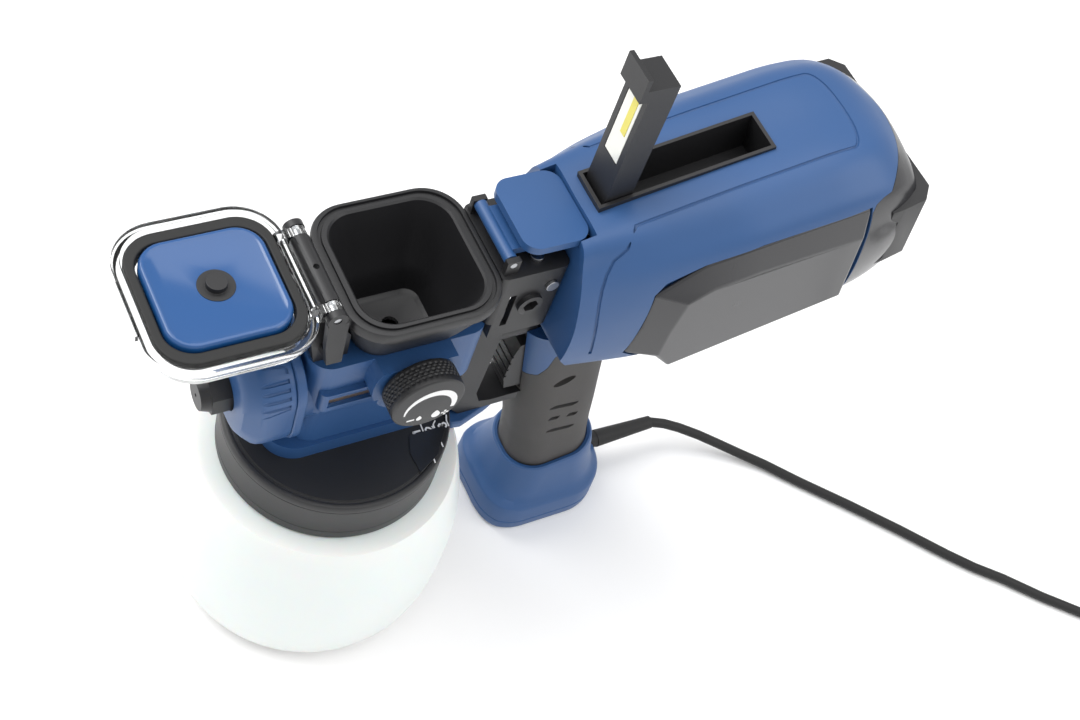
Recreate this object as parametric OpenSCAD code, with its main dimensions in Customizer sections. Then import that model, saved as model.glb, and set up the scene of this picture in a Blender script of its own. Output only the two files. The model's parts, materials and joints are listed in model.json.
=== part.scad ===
// Handheld airless paint sprayer with a top hopper, a screw-on container, a hinged
// work lamp and a mains lead. Millimetres, +Z up, nozzle towards -X.
// Origin: centre of the container base, on the surface the sprayer stands on.
// The front assembly stands level. The motor body and its handle lean back by "pitch".

/* [Container and cap] */
// largest radius of the container
bottle_r = 66; // [55:1:80]
// height of the container shoulder
bottle_h = 96.6; // [80:0.1:120]
// container wall
bottle_wall = 2; // [1:0.1:4]
// outer radius of the cap
cap_r = 49.3; // [40:0.1:60]
// height of the cap
cap_h = 26; // [18:1:40]

/* [Hopper and lid] */
// width of the hopper rim along X
rim_x = 65; // [50:1:90]
// width of the hopper rim along Y
rim_y = 64; // [50:1:90]
// height of the hopper rim above the surface
rim_z = 223.5; // [200:0.5:250]
// depth of the lid tray
lid_h = 9; // [7:0.5:20]

/* [Motor body] */
// lean of the motor body and handle, in degrees
pitch = 11; // [0:1:20]
// half width of the motor body
body_w = 44; // [36:1:56]
// wall of the motor body
body_wall = 4.2; // [3:0.1:6]
// radius of the motor
motor_r = 22; // [18:1:30]

/* [Handle and foot] */
// depth of the grip, front to back
grip_d = 44; // [36:1:50]
// width of the grip
grip_w = 35; // [28:1:42]
// length of the foot
foot_l = 74; // [60:1:100]
// width of the foot
foot_w = 56; // [40:1:80]

/* [Mains lead] */
// diameter of the lead
lead_d = 5.2; // [4:0.1:8]

/* [Hidden] */
blue = [0.13, 0.28, 0.55];
black = [0.08, 0.08, 0.09];
dark = [0.16, 0.16, 0.17];
steel = [0.7, 0.71, 0.73];
clear = [0.85, 0.9, 0.93];
white = [0.93, 0.93, 0.9];
brass = [0.75, 0.6, 0.3];
$fn = 48;

cap_z = 97;                     // underside of the cap
cap_top = cap_z + cap_h;        // the head stands here
pump_z = 160;                   // axis of pump and piston rod
nozzle_z = 163;                 // axis of the turning collar and nozzle
knob_x = 13;
knob_z = 182;
hop_x = 13.1;                   // centre of hopper
hinge_x = -25.5;                // lid hinge axis, along Y
hinge_z = rim_z + 5;
lid_x = 2 * hinge_x - hop_x;    // centre of the open lid
seal_z = 2 * hinge_z - rim_z;   // the open lid's sealing plane
latch_x = 50;                   // latch axis, along Y
latch_z = 228;
lamp_x = 47;                    // lamp axis, along Y, in the leaning frame
lamp_z = 48;
lamp_l = 70;                    // lamp axis to lamp tip
trig_x = 88;                    // trigger axis, along Y
trig_z = 152;
crank_x = 112;                  // crankshaft axis, upright
crank_e = 4;                    // half of the piston stroke
axis_z = 8;                     // motor axis, in the leaning frame
core_d = grip_d - 6;
core_w = grip_w - 6;
hand_x = 35.7;                  // centre line of the handle, in the leaning frame
foot_x = 122;                   // centre of the foot

// half sections of the motor body near its front, middle and rear, in the leaning frame: [y, z]
front_half = [[0, 52], [19, 51], [24, 40], [30, 25], [34, 8], [33, -10], [27, -24], [15, -33], [0, -36]];
mid_half = [[0, 54], [22, 54], [34, 46.5], [40.5, 38], [body_w, 20], [body_w, -11], [39, -29], [18, -44], [0, -47]];
rear_half = [[0, 38], [14, 36], [26, 32], [34, 26], [39, 14], [39, -6], [33, -22], [15, -34], [0, -36]];
// stations along the body: [x, blend towards the front or rear section]
front_stations = [[22, 1], [38, 0.66], [55, 0.38], [100, 0]];
rear_stations = [[142, 0], [158, 0.12], [168, 0.36], [176, 0.72], [181, 1]];
// outline of the front seen from the side: [x, z]; the front is upright, the underside rises
side_line = [[28.6, 60], [16.5, -9.3], [24.9, -29.3], [42, -45], [54, -56], [200, -56], [200, 60]];
// outline of a side panel: [x, z]
panel_line = [[53, 26], [58, 31], [75, 35.5], [100, 38], [152, 36], [152, -26], [60, -32], [44, -14]];

// route of the mains lead, world [x, y, z]
lead_pts = [[196, 0, 16], [204, -3, 15.2], [212, -7, 13.4], [222, -13, 10.6], [232, -20, 7.6],
            [243, -28.5, 4.8], [254, -38, 3.2], [268, -53.5, 2.7], [289, -76, 2.7], [308.5, -98, 2.7],
            [327, -120, 2.7], [338, -132, 2.7], [350, -143, 2.7], [366, -160, 2.7], [383, -176, 2.7],
            [402, -193, 2.7], [424, -208, 2.7], [448, -218, 2.7], [474, -222, 2.7]];
coil_c = [474, -184.2, 0];      // coil centre
coil_r = 30;                    // mid radius of the coil
coil_turns = 4;                 // turns in each layer
coil_layers = 2;

// ---------- helpers ----------

// places children in the leaning frame of the motor body
module leaning() {
    translate([60, 0, 180]) rotate([0, -pitch, 0]) children();
}

// rounded rectangle, centred
module rrect(w, h, r) {
    square([w - 2 * r, h], center = true);
    square([w, h - 2 * r], center = true);
    for (x = [-1, 1], y = [-1, 1])
        translate([x * (w / 2 - r), y * (h / 2 - r)]) circle(r);
}

// upright rounded block from z0 to z1
module block(x, y, w, h, r, z0, z1) {
    translate([x, y, z0]) linear_extrude(z1 - z0) rrect(w, h, r);
}

// rounded block whose size changes from a at z0 to b at z1: a and b are [x centre, w, h, r]
module taper(a, b, z0, z1) {
    hull() {
        block(a[0], 0, a[1], a[2], a[3], z0, z0 + 0.01, $fn = 32);
        block(b[0], 0, b[1], b[2], b[3], z1 - 0.01, z1, $fn = 32);
    }
}

// cylinder along X from x0 to x1
module rod_x(x0, x1, z, r) {
    translate([x0, 0, z]) rotate([0, 90, 0]) cylinder(h = x1 - x0, r = r);
}

// cylinder along Y from y0 to y1
module rod_y(x, z, y0, y1, r) {
    translate([x, y0, z]) rotate([-90, 0, 0]) cylinder(h = y1 - y0, r = r);
}

// flat plate standing in the XZ plane, from y0 to y1
module slab_y(y0, y1) {
    translate([0, y1, 0]) rotate([90, 0, 0]) linear_extrude(y1 - y0) children();
}

module both_sides() {
    for (m = [0, 1]) mirror([0, m, 0]) children();
}

// ---------- container and cap ----------

module bottle_profile(t) {
    r = bottle_r - t;
    polygon([[0, t], [50 - t / 2, t], [58.5 - t, 4 + t / 2], [r - 3, 13], [r - 1, 22], [r, 38], [r, 56],
             [r - 1.6, 68], [r - 4, 80], [r - 7.2, 92 - t / 2], [r - 9, bottle_h - t], [43.2 - t, bottle_h - t],
             [43.2 - t, cap_top - 6.2], [0, cap_top - 6.2]]);
}

module container() {
    color(white) difference() {
        union() {
            rotate_extrude($fn = 96) bottle_profile(0);
            for (z = [104, 109])
                translate([0, 0, z]) cylinder(h = 1.6, r = 44.4, $fn = 96);
        }
        rotate_extrude($fn = 96) bottle_profile(bottle_wall);
        translate([0, 0, cap_top - 12]) cylinder(h = 20, r = 41.2, $fn = 96);
    }
}

module container_gasket() {
    color(black) translate([0, 0, cap_top - 6]) difference() {
        cylinder(h = 2, r = 43.2, $fn = 96);
        translate([0, 0, -1]) cylinder(h = 4, r = 39.5, $fn = 96);
    }
}

module cap() {
    color(black) difference() {
        translate([0, 0, cap_z]) cylinder(h = cap_h, r = cap_r, $fn = 96);
        translate([0, 0, cap_z - 1]) cylinder(h = cap_h - 3, r = 45.2, $fn = 96);
        // fine grooves round the wall and near the top edge
        for (z = [cap_z + 5, cap_z + 21.5])
            translate([0, 0, z]) difference() {
                cylinder(h = 0.8, r = cap_r + 1, $fn = 96);
                translate([0, 0, -1]) cylinder(h = 3, r = cap_r - 0.6, $fn = 96);
            }
        translate([0, 0, cap_top - 5]) cylinder(h = 10, r = 6.3);
        translate([16, 0, cap_top - 5]) cylinder(h = 10, r = 1.5);
    }
}

module cap_label() {
    color(dark) translate([0, 0, cap_top]) linear_extrude(0.5)
        polygon([[24, -22.5], [21, -30.6], [21.5, -40.9], [32.2, -35], [40.7, -23.8], [40.5, -22.5]]);
}

module suction_tube() {
    color(white) difference() {
        translate([0, 0, 16]) cylinder(h = 128, r = 6);
        translate([0, 0, 15]) cylinder(h = 130, r = 4);
    }
}

module suction_filter() {
    color(dark) difference() {
        translate([0, 0, 5]) cylinder(h = 22, r = 11);
        translate([0, 0, 7]) cylinder(h = 9, r = 9.4);
        translate([0, 0, 15.9]) cylinder(h = 20, r = 6);
        for (a = [0 : 60 : 300])
            rotate([0, 0, a]) translate([9.8, 0, 11]) cube([6, 3, 6], center = true);
    }
}

// ---------- head, pump and spray front ----------

module head_body(t) {
    block(10, 0, 76 - 2 * t, 42 - 2 * t, 9 - t / 2, 160 + t, 192 - t);
    block(10, 0, 74 - 2 * t, 33 - 2 * t, 9 - t / 2, cap_top - t, 165);
}

module spray_head() {
    color(blue) difference() {
        union() {
            head_body(0);
            // foot on the cap and seat of the knob
            block(2, 0, 78, 37, 14, cap_top, 131);
            rod_y(knob_x, knob_z, -29, -18, 19);
            // bezel of the slot window
            block(-11, -20, 26, 7, 3, 165.5, 176.5);
            // round seat of the collar
            rod_x(-29, -20, nozzle_z, 19.5);
        }
        head_body(3);
        rod_y(knob_x, knob_z, -40, -15, 5.1);
        rod_x(-40, -10, nozzle_z, 8.1);
        rod_x(40, 60, pump_z, 7);
        block(-11, -22, 20, 14, 1.5, 168, 174);
        block(hop_x + 0.9, 0, 38.6, 34.6, 8, 180, 200);
        // room for the hopper wall above the knob seat
        translate([-25, -60, 192]) cube([80, 120, 20]);
    }
}

module slot_window() {
    color(brass) block(-11, -19.6, 20, 3, 1.2, 168, 174);
}

module pump_block() {
    color(steel) difference() {
        union() {
            block(9, 0, 64, 26, 6, 140, 173);
            rod_x(-28, -20, nozzle_z, 8);
        }
        rod_x(-12, 60, pump_z, 10);
        rod_x(-40, -11, nozzle_z, 3);
        translate([0, 0, 130]) cylinder(h = 14, r = 6);
        translate([0, 0, 140]) cylinder(h = 20, r = 4.2);
        translate([35, -8, 130]) cylinder(h = 18, r = 1.6);
        translate([35, 8, 130]) cylinder(h = 18, r = 1.6);
    }
}

module pump_cylinder() {
    color(steel) difference() {
        rod_x(-12, 40, pump_z, 10);
        rod_x(-9, 60, pump_z, 6);
        rod_x(-20, 0, nozzle_z, 1.5);
        translate([0, 0, 145]) cylinder(h = 12, r = 2.5);
    }
}

module inlet_valve() {
    color(steel) translate([0, 0, 147]) sphere(r = 2.8);
}

module outlet_valve() {
    color(brass) {
        rod_x(-26, -18, nozzle_z, 1.8);
        rod_x(-18, -15, nozzle_z, 2.7);
    }
}

module piston() {
    color(steel) union() {
        rod_x(6, 24, pump_z, 5.4);
        rod_x(24, 97, pump_z, 4);
        // yoke frame round the crank
        difference() {
            block(crank_x, 0, 31.8, 26.6, 2, 156, 164);
            block(crank_x, 0, 28.6, 20.6, 2, 150, 170);
        }
    }
}

module piston_seal() {
    color(black) difference() {
        rod_x(9, 12, pump_z, 5.95);
        rod_x(8, 13, pump_z, 5.4);
    }
}

// cross section of the collar: centred on the nozzle axis, across X
module collar_section(w, h, r, x0, x1) {
    translate([x0, 0, nozzle_z + 2]) rotate([90, 0, 90]) linear_extrude(x1 - x0) rrect(w, h, r, $fn = 32);
}

module front_collar() {
    color(blue) difference() {
        union() {
            hull() {
                collar_section(36, 36, 12, -54, -53.9);
                collar_section(45, 49, 17, -48.1, -48);
            }
            collar_section(46, 50, 17, -48, -34);
        }
        rod_x(-60, -47, nozzle_z, 9.6);
        rod_x(-60, -30, nozzle_z, 6.1);
        rod_x(-40, -30, nozzle_z, 12);
        both_sides() for (i = [0 : 4])
            translate([-41, 23, nozzle_z - 6 + 4 * i]) cube([11, 1.6, 1.6], center = true);
    }
}

module collar_ring() {
    color(blue) difference() {
        collar_section(47, 51, 17, -34, -29.8);
        rod_x(-36, -28, nozzle_z, 8.1);
    }
}

module nozzle() {
    color(black) difference() {
        union() {
            translate([-62, 0, nozzle_z]) rotate([0, 90, 0]) cylinder(h = 15, r = 9.2, $fn = 6);
            translate([-66, 0, nozzle_z]) rotate([0, 90, 0]) cylinder(h = 4, r1 = 6.5, r2 = 7.9, $fn = 40);
            rod_x(-47, -36, nozzle_z, 6.1);
        }
        rod_x(-70, -34, nozzle_z, 0.8);
        rod_x(-52, -34, nozzle_z, 3);
    }
}

module knob() {
    color(black) difference() {
        union() {
            rod_y(knob_x, knob_z, -38.5, -29.6, 15.7);
            translate([knob_x, -41, knob_z]) rotate([-90, 0, 0]) cylinder(h = 2.5, r1 = 13.4, r2 = 15.7);
        }
        rod_y(knob_x, knob_z, -36, -20, 4);
        // staggered dimples round the rim
        for (i = [0 : 19], k = [0, 1])
            translate([knob_x, -36.4 + 3.6 * k, knob_z]) rotate([0, 18 * i + 9 * k, 0])
                translate([16, 0, 0]) rotate([0, 90, 0]) cylinder(h = 2, r = 1, center = true, $fn = 6);
    }
}

module knob_spindle() {
    color(brass) {
        rod_y(knob_x, knob_z, -36, -29, 4);
        rod_y(knob_x, knob_z, -29, -18.5, 5);
    }
}

// ---------- hopper and lid ----------

module hopper() {
    color(black) difference() {
        union() {
            block(hop_x, 0, rim_x, rim_y, 17, rim_z - 6, rim_z);
            taper([hop_x + 0.9, 46, 41, 11], [hop_x, 60, 60, 15], 192, rim_z - 6);
            block(hop_x + 0.9, 0, 38, 34, 7.7, 178, 192);
        }
        taper([hop_x + 0.9, 38, 36, 10], [hop_x, 52.4, 54.8, 13.4], 194, rim_z + 0.01);
        block(hop_x + 0.9, 0, 34, 30, 6, 180, 196);
        // groove round the rim for the lid seal
        difference() {
            block(hop_x, 0, 60, 60, 16, rim_z - 1, rim_z + 1);
            block(hop_x, 0, 57.6, 57.6, 15, rim_z - 2, rim_z + 2);
        }
        translate([hop_x + 0.9, 0, 170]) cylinder(h = 20, r = 3.5);
    }
}

module hinge_bracket() {
    color(black) difference() {
        union() {
            both_sides() slab_y(12, 15.6)
                polygon([[-27, 192], [-13, 192], [-13.5, 205], [-20, 214], [-20.3, 224], [-23, 232],
                         [-28, 232], [-29.5, 226], [-30, 206]]);
            both_sides() rod_y(hinge_x, hinge_z, 20.2, 23, 4);
            both_sides() slab_y(20.2, 23)
                polygon([[-26, 200], [-19.8, 200], [-20.2, 214], [-20.6, 226], [-29, 226], [-28, 212]]);
            rod_y(hinge_x, hinge_z, -15.6, 15.6, 4);
            both_sides() translate([-26, 12, 200]) cube([6.2, 11, 4]);
            translate([-27, -15.6, 192]) cube([9, 31.2, 4]);
        }
        rod_y(hinge_x, hinge_z, -30, 30, 1.6);
        translate([hinge_x, 0, hinge_z]) cylinder(h = 10, r = 1.2);
    }
}

module lid_hinge_pin() {
    color(steel) rod_y(hinge_x, hinge_z, -22.6, 22.6, 1.6);
}

// plan of the open lid
module lid_plan(grow) {
    rrect(62 + grow, 66 + grow, 17 + grow / 2);
}

module lid() {
    floor_z = seal_z - lid_h;
    color(clear) difference() {
        union() {
            translate([lid_x, 0, floor_z]) linear_extrude(lid_h) lid_plan(0);
            // brim near the sealing plane
            translate([lid_x, 0, seal_z - 4]) linear_extrude(4) lid_plan(2.5);
            // thumb tab
            translate([lid_x - 33.3, -12, seal_z - 3.5]) cube([5, 24, 3.2]);
            // knuckles
            both_sides() {
                rod_y(hinge_x, hinge_z, 15.9, 19.9, 3.7);
                translate([lid_x + 29, 15.9, hinge_z - 3]) cube([hinge_x - lid_x - 29, 4, 6]);
            }
        }
        translate([lid_x, 0, floor_z + 2]) linear_extrude(lid_h) lid_plan(-5);
        rod_y(hinge_x, hinge_z, 15, 21, 1.65);
        rod_y(hinge_x, hinge_z, -21, -15, 1.65);
    }
}

module lid_seal() {
    color(black) difference() {
        translate([lid_x, 0, seal_z - 6]) linear_extrude(6) rrect(56.6, 58.6, 14);
        translate([lid_x, 0, seal_z - 7]) linear_extrude(8) rrect(49, 49, 11);
    }
}

module lid_insert() {
    color(blue) difference() {
        union() {
            translate([lid_x, 0, seal_z - lid_h + 2]) linear_extrude(lid_h - 2) rrect(48.4, 48.4, 11);
            translate([lid_x, 0, seal_z]) linear_extrude(6) rrect(46, 47, 10);
        }
        translate([lid_x, 0, seal_z - lid_h]) linear_extrude(lid_h + 4) rrect(42, 42, 9);
        translate([lid_x, 0, seal_z]) cylinder(h = 10, r = 5.5);
    }
}

module vent_stem() {
    color(black) {
        translate([lid_x, 0, seal_z - lid_h + 2]) cylinder(h = lid_h + 2, r = 4);
        translate([lid_x, 0, seal_z - 1]) cylinder(h = 2.5, r = 7);
    }
}

// ---------- bracket, latch and guard ----------

module bracket_block() {
    color(black) difference() {
        union() {
            block(60.85, 0, 31.7, 39, 4, 183, 222.5);
            both_sides() translate([47, 14.6, 214]) cube([6, 2.6, 16.2]);
            both_sides() rod_y(62, 203, 18, 21.6, 5.5);
        }
        block(61.5, 0, 27, 33, 3, 170, 219);
        // step over the rear edge of the head
        translate([40, -30, 180]) cube([8.1, 60, 12.1]);
        // room for the back wall of the hopper
        block(hop_x, 0, rim_x + 0.8, rim_y + 0.8, 17, 205, 240);
        rod_y(latch_x, latch_z, -30, 30, 1.5);
        both_sides() {
            rod_y(62, 203, 19, 30, 3.4, $fn = 6);
            rod_y(70, 212, 10, 30, 1.6);
            translate([52, 15, 190]) cube([3, 10, 20]);
        }
        for (y = [-12, 12])
            translate([64, y, 200]) cylinder(h = 40, r = 1.6);
    }
}

module bracket_screws() {
    color(steel) {
        for (y = [-12, 12]) {
            translate([64, y, 222.5]) cylinder(h = 1.6, r = 2.8);
            translate([64, y, 212]) cylinder(h = 10.5, r = 1.6);
        }
        both_sides() {
            rod_y(70, 212, 19.5, 20.9, 2.8);
            rod_y(70, 212, 12, 19.5, 1.6);
        }
    }
}

module latch_pin() {
    color(steel) rod_y(latch_x, latch_z, -17.2, 17.2, 1.5);
}

module latch_paddle() {
    color(blue) difference() {
        union() {
            rod_y(latch_x, latch_z, -14.3, 14.3, 2.7);
            translate([latch_x, -11, latch_z - 1.4]) cube([12, 22, 3.6]);
            translate([latch_x + 9, -11, latch_z]) cube([4, 22, 6]);
            block(68.5, 0, 29, 36, 7, 232.6, 236.4);
        }
        rod_y(latch_x, latch_z, -15, 15, 1.55);
    }
}

module trigger_guard() {
    color(black) difference() {
        union() {
            slab_y(-9, 9)
                polygon([[52, 182.7], [66, 182.7], [65, 150], [64, 118], [67, 110.5], [73, 109], [88.8, 109],
                         [88.8, 108.3], [87.4, 108.3], [87.4, 104.2], [58, 104], [53, 110], [52, 130]]);
            rod_x(49, 84, pump_z, 8);
        }
        rod_x(40, 100, pump_z, 4.6);
        slab_y(-6, 6) polygon([[55, 148], [61, 148], [61, 118], [56, 113]]);
    }
}

module guard_tongue() {
    color(blue) translate([0, 0, 99]) linear_extrude(5)
        polygon([[51, -10], [53, -13], [58, -13.5], [72, -9], [80, -5.5], [83, -2.5], [83, 2.5], [80, 5.5],
                 [72, 9], [58, 13.5], [53, 13], [51, 10]]);
}

// ---------- motor body, in the leaning frame ----------

function mix(a, b, k) = [for (i = [0 : len(a) - 1]) a[i] * (1 - k) + b[i] * k];
function mirrored(pts) = [for (i = [len(pts) - 1 : -1 : 0]) [-pts[i][0], pts[i][1]]];
// pulls a half section inwards by t
function shrink(pts, t) = [for (p = pts) [p[0] * (1 - t / body_w), 4 + (p[1] - 4) * (1 - t / body_w)]];

module body_slab(x, half, t) {
    pts = shrink(half, t);
    translate([x, 0, 0]) rotate([90, 0, 90]) linear_extrude(0.01)
        polygon(concat(pts, mirrored(pts)));
}

// full outer form of the body, pulled inwards by t
module body_form(t) {
    intersection() {
        hull() {
            for (s = front_stations)
                body_slab(s[0] - 4, mix(mid_half, front_half, s[1]), t);
            for (s = rear_stations)
                body_slab(s[0] - t, mix(mid_half, rear_half, s[1]), t);
        }
        slab_y(-80, 80) polygon([for (p = side_line) [p[0] + t, p[1] < 0 ? p[1] + t / 2 : p[1]]]);
    }
}

// everything in front of the bowed seam between body and rear cap
module before_seam(gap) {
    back = [for (y = [60 : -6 : -60]) [180 - gap - 0.0125 * y * y, y]];
    difference() {
        translate([0, 0, -90]) linear_extrude(180) polygon(concat([[0, -60], [0, 60]], back));
        // the dark rear ring runs forward below the shoulder, to the side panels
        slab_y(-60, 60) polygon([[152.2, -60], [152.2, 33], [154, 36.5], [158, 38], [200, 38], [200, -60]]);
    }
}

// front part of the neck that belongs to the blue housing, grown by g
module neck_front(g) {
    slab_y(-40, 40) polygon([[0, -20], [31 + g, -20], [29.5 + g, -35], [25 + g, -39], [22.5 + g, -48],
                             [19.2 + g, -55 - g], [15, -58 - g], [0, -58 - g]]);
}

// side panel region, pulled in by g all round
module panel_zone(g) {
    mid = [100, 2];
    both_sides() slab_y(20, 60)
        polygon([for (p = panel_line) p - g * (p - mid) / norm(p - mid)]);
}

module lamp_hole() {
    translate([38.9, -9.8, 20]) cube([80.2, 19.6, 60]);
}

module housing_solid() {
    difference() {
        union() {
            difference() {
                intersection() {
                    body_form(0);
                    before_seam(0);
                }
                difference() {
                    body_form(body_wall);
                    // ribs that carry the motor
                    for (x = [84, 132])
                        translate([x, -30, -50]) cube([3, 60, 34]);
                }
                // seat of the side panels
                difference() {
                    panel_zone(0);
                    body_form(2.2);
                }
                // seat of the deck cover
                translate([31, -20.3, 52.5]) cube([120, 40.6, 10]);
                lamp_hole();
            }
            // neck and handle core
            difference() {
                union() {
                    translate([hand_x, 0, -153]) linear_extrude(120) rrect(core_d, core_w, 12);
                    intersection() {
                        translate([hand_x, 0, -60]) linear_extrude(32) rrect(grip_d, grip_w, 15);
                        neck_front(0);
                    }
                }
                body_form(body_wall);
            }
        }
        translate([hand_x, 0, -154]) linear_extrude(130) rrect(core_d - 5, core_w - 5, 9.5);
    }
}

// openings that are level with the front assembly
module housing_cuts() {
    // trigger slot, rod passage and guard tail
    translate([70, -8, 110.5]) cube([24, 16, 47.5]);
    rod_x(70, 106, pump_z, 8.2);
    // room for the yoke
    translate([91.8, -15, 155.3]) cube([22, 30, 9.6]);
    latch_notch();
    rod_y(trig_x, trig_z, -20, 20, 2);
    translate([70, -9.2, 103]) cube([19.2, 18.4, 6.2]);
}

// lets the latch paddle lie in the front edge of the motor body
module latch_notch() {
    translate([70, -18.5, 232.2]) cube([13.4, 37, 30]);
}

module housing_half(side) {
    difference() {
        union() {
            leaning() housing_solid();
            // cheeks that hold the trigger pin
            both_sides() rod_y(trig_x, trig_z, 7, 14.4, 5.5);
        }
        housing_cuts();
        translate([-50, side > 0 ? -200 : 0, -50]) cube([400, 200, 400]);
    }
}

module housing_left() { color(blue) housing_half(-1); }
module housing_right() { color(blue) housing_half(1); }

module deck_cover() {
    color(blue) difference() {
        leaning() difference() {
            translate([31.4, -20, 52.5]) cube([119.2, 40, 2.5]);
            lamp_hole();
        }
        latch_notch();
    }
}

module lamp_tray() {
    color(black) leaning() difference() {
        translate([39, -9.7, 34]) cube([80, 19.4, 21.8]);
        translate([40.6, -8.2, 35.6]) cube([76.8, 16.4, 30]);
        rod_y(lamp_x, lamp_z, -12, 12, 1.5);
    }
}

module lamp_pin() {
    color(steel) leaning() rod_y(lamp_x, lamp_z, -9.6, 9.6, 1.5);
}

// the lamp stands upright when open; drawn from its own axis
module at_lamp() {
    leaning() translate([lamp_x, 0, lamp_z]) rotate([0, pitch, 0]) children();
}

module lamp_bar() {
    color(black) at_lamp() difference() {
        union() {
            translate([-6, -7.75, 0]) cube([12, 15.5, lamp_l]);
            rod_y(0, 0, -7.75, 7.75, 6);
            // lip for the fingernail, which lies on the rim of the tray when the lamp is down
            translate([-8.1, -7.75, lamp_l - 6]) cube([2.2, 15.5, 6]);
            translate([-10, -7.75, lamp_l - 6]) cube([2, 15.5, 12]);
        }
        rod_y(0, 0, -9, 9, 1.55);
        translate([-7, -5, 26]) cube([2.6, 10, 39]);
    }
}

module lamp_lens() {
    color(white) at_lamp() translate([-5.9, -4.8, 26.2]) cube([1.5, 9.6, 38.6]);
}

module side_panel(side) {
    color(dark) leaning() intersection() {
        difference() {
            body_form(0);
            body_form(2.2);
        }
        before_seam(0);
        panel_zone(0.3);
        translate([0, side > 0 ? 0 : -200, -100]) cube([300, 200, 200]);
    }
}

module side_panel_left() { side_panel(-1); }
module side_panel_right() { side_panel(1); }

module rear_cap() {
    color(dark) leaning() difference() {
        body_form(0);
        before_seam(0);
        body_form(3);
        // air openings behind the two vent covers
        both_sides() translate([150, 15, -9]) cube([40, 14, 30]);
        translate([-10, -100, -100]) cube([150, 200, 200]);
    }
}

module vent_covers() {
    color(black) leaning() both_sides() difference() {
        intersection() {
            translate([164, 12.5, -12]) cube([22, 31.5, 39]);
            translate([0, 0, -40]) linear_extrude(90)
                polygon([[150, 10], [187, 10], [187, 34], [181, 41], [170, 42], [150, 42]]);
        }
        body_form(0);
        translate([150, 15, -9.5]) cube([33.5, 26, 34]);
        for (z = [-6 : 6 : 18])
            translate([180, 17, z]) cube([20, 18, 2.6]);
    }
}

// ---------- drive ----------

module motor_can() {
    color(steel) leaning() difference() {
        rod_x(80, 142, axis_z, motor_r);
        rod_x(81.6, 140.4, axis_z, motor_r - 1.6);
        rod_x(70, 150, axis_z, 6);
    }
}

module motor_bearings() {
    color(steel) leaning() for (x = [76.5, 140.4])
        difference() {
            rod_x(x, x + 5, axis_z, 6);
            rod_x(x - 1, x + 6, axis_z, 2.5);
        }
}

module rotor() {
    color(steel) leaning() {
        rod_x(56, 158, axis_z, 2.46);
        rod_x(86, 128, axis_z, 17);
        rod_x(129, 138, axis_z, 8);
    }
}

module fan() {
    color(black) leaning() difference() {
        union() {
            rod_x(148, 156, axis_z, 8);
            for (a = [0 : 45 : 315])
                translate([148.6, 0, axis_z]) rotate([a + 7, 0, 0]) translate([0, -1, 7]) cube([6.8, 2, 21]);
        }
        rod_x(140, 160, axis_z, 2.46);
    }
}

module pinion() {
    color(steel) leaning() difference() {
        union() {
            rod_x(57, 66, axis_z, 2.9);
            for (a = [0 : 45 : 315])
                translate([57.4, 0, axis_z]) rotate([a + 7, 0, 0]) translate([0, -0.6, 2.6]) cube([8.2, 1.2, 0.9]);
        }
        rod_x(50, 70, axis_z, 2.46);
    }
}

module crank_gear() {
    color(steel) union() {
        translate([crank_x, 0, 188]) cylinder(h = 5.5, r = 12);
        for (a = [0 : 15 : 345])
            translate([crank_x, 0, 193.4]) rotate([0, 0, a]) translate([8, -0.7, 0]) cube([4, 1.4, 1.5]);
        translate([crank_x, 0, 166]) cylinder(h = 22, r = 4);
        translate([crank_x - crank_e, 0, 154.5]) cylinder(h = 11.5, r = 6);
    }
}

module gear_plate() {
    color(steel) difference() {
        block(crank_x, 0, 34, 61, 3, 172, 182);
        translate([crank_x, 0, 160]) cylinder(h = 30, r = 4.05);
        both_sides() block(crank_x, 21, 20, 12, 2, 174, 190);
    }
}

// ---------- handle, trigger, switch and foot ----------

module control_board() {
    color([0.1, 0.35, 0.2]) leaning() {
        translate([24, -9, -146]) cube([24, 1.6, 52]);
        translate([28, -7.4, -140]) cube([12, 9, 16]);
        translate([30, -7.4, -116]) cube([8, 6, 12]);
    }
}

module switch() {
    color(black) {
        translate([102, -6, 122]) cube([14, 12, 16]);
        translate([100, -2.5, 126]) cube([2, 5, 6]);
    }
}

module trigger() {
    color(black) difference() {
        slab_y(-7.5, 7.5)
            polygon([[79.5, 147], [77.5, 138], [77.3, 122], [79.5, 113.5], [88, 112.8], [92, 118], [93, 144],
                     [92, 154.6], [84.5, 155.4], [83.5, 148]]);
        rod_y(trig_x, trig_z, -10, 10, 2.05);
        for (z = [118 : 5 : 143])
            translate([76, -9, z]) cube([2.2, 18, 1.2]);
    }
}

module trigger_pin() {
    color(steel) rod_y(trig_x, trig_z, -14.5, 14.5, 2);
}

// slot in the side of the sleeve, tilted like the body
module grip_slot(x, z, len) {
    translate([x, 10, z]) rotate([0, 18, 0]) cube([len, 20, 3]);
}

module grip_sleeve() {
    color(dark) difference() {
        leaning() difference() {
            translate([hand_x, 0, -146]) linear_extrude(110) rrect(grip_d, grip_w, 15);
            translate([hand_x, 0, -150]) linear_extrude(130) rrect(core_d + 0.1, core_w + 0.1, 12);
            body_form(-0.1);
            neck_front(0.1);
            // slots that show the blue core, and the recess of a screw
            both_sides() {
                grip_slot(26.5, -88, 15);
                grip_slot(26.8, -99, 5.5);
                grip_slot(36.4, -102, 5.5);
                grip_slot(26.8, -112, 15);
                translate([32, 16.1, -64.5]) rotate([90, 0, 0]) scale([1.5, 0.7, 1]) cylinder(h = 6, r = 3.6, center = true);
            }
        }
        housing_cuts();
    }
}

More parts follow.
